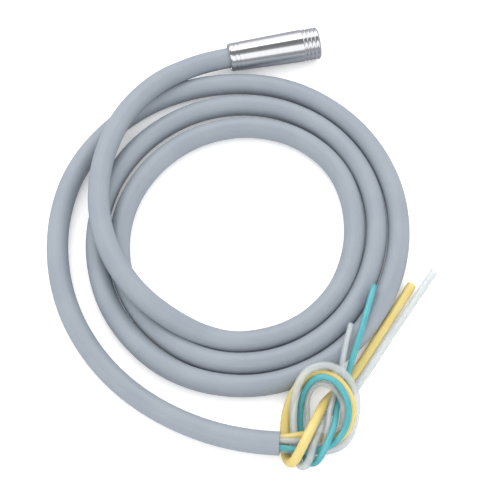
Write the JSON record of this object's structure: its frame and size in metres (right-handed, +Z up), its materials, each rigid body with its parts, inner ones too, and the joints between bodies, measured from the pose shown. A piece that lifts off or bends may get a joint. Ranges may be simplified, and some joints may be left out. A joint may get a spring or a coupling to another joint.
{
  "type": "dental handpiece hose",
  "caption": "Coiled dental handpiece hose: soft jacket over inner tubes, screw-on chrome coupling, cut end with the bare tubes knotted.",
  "frame": {"origin": "on the floor under the middle of the laid-out hose's footprint", "axes": "+Z up from the floor; +Y from the knotted end towards the coupling; +X to the side of the bare tube ends"},
  "size_m": [0.1732, 0.2172, 0.0196],
  "materials": {
    "nut_chrome": "satin chrome with turned grip grooves",
    "washer_steel": "plain stainless",
    "core_aluminium": "fine turned, clear anodised",
    "plate_plastic": "moulded, matte",
    "spring_steel": "spring steel",
    "gasket_rubber": "soft silicone, matte",
    "seal_rubber": "nitrile, matte",
    "sleeve_steel": "plain stainless",
    "stem_steel": "drawn stainless tube",
    "jacket_silicone": "smooth soft silicone, satin, light bluish grey",
    "yellow_tube": "translucent yellow polyurethane",
    "clear_tube": "milky clear polyurethane",
    "teal_tube": "translucent teal polyurethane"
  },
  "bodies": {
    "hose": {"connector_core": "core_aluminium", "stem_plate": "plate_plastic", "stem_snap_ring": "spring_steel", "face_gasket": "gasket_rubber", "core_o_ring": "seal_rubber", "jacket_clamp_sleeve": "sleeve_steel", "exhaust_stem": "stem_steel", "drive_air_stem": "stem_steel", "water_stem": "stem_steel", "chip_air_stem": "stem_steel", "hose_jacket": "jacket_silicone", "exhaust_tube": "yellow_tube", "drive_air_tube": "clear_tube", "water_tube": "teal_tube", "chip_air_tube": "clear_tube"},
    "thrust_washer": {"nut_thrust_washer": "washer_steel"},
    "nut": {"coupling_nut": "nut_chrome"}
  },
  "joints": [
    {"name": "nut_slide", "type": "slide", "parent": "hose", "child": "thrust_washer", "axis": [-0.9806, -0.1959, 0], "range_m": [0, 0.0065]},
    {"name": "nut_spin", "type": "hinge", "parent": "thrust_washer", "child": "nut", "pos_m": [0.03212, 0.10071, 0.00755], "axis": [0.9806, 0.1959, 0], "continuous": true}
  ]
}
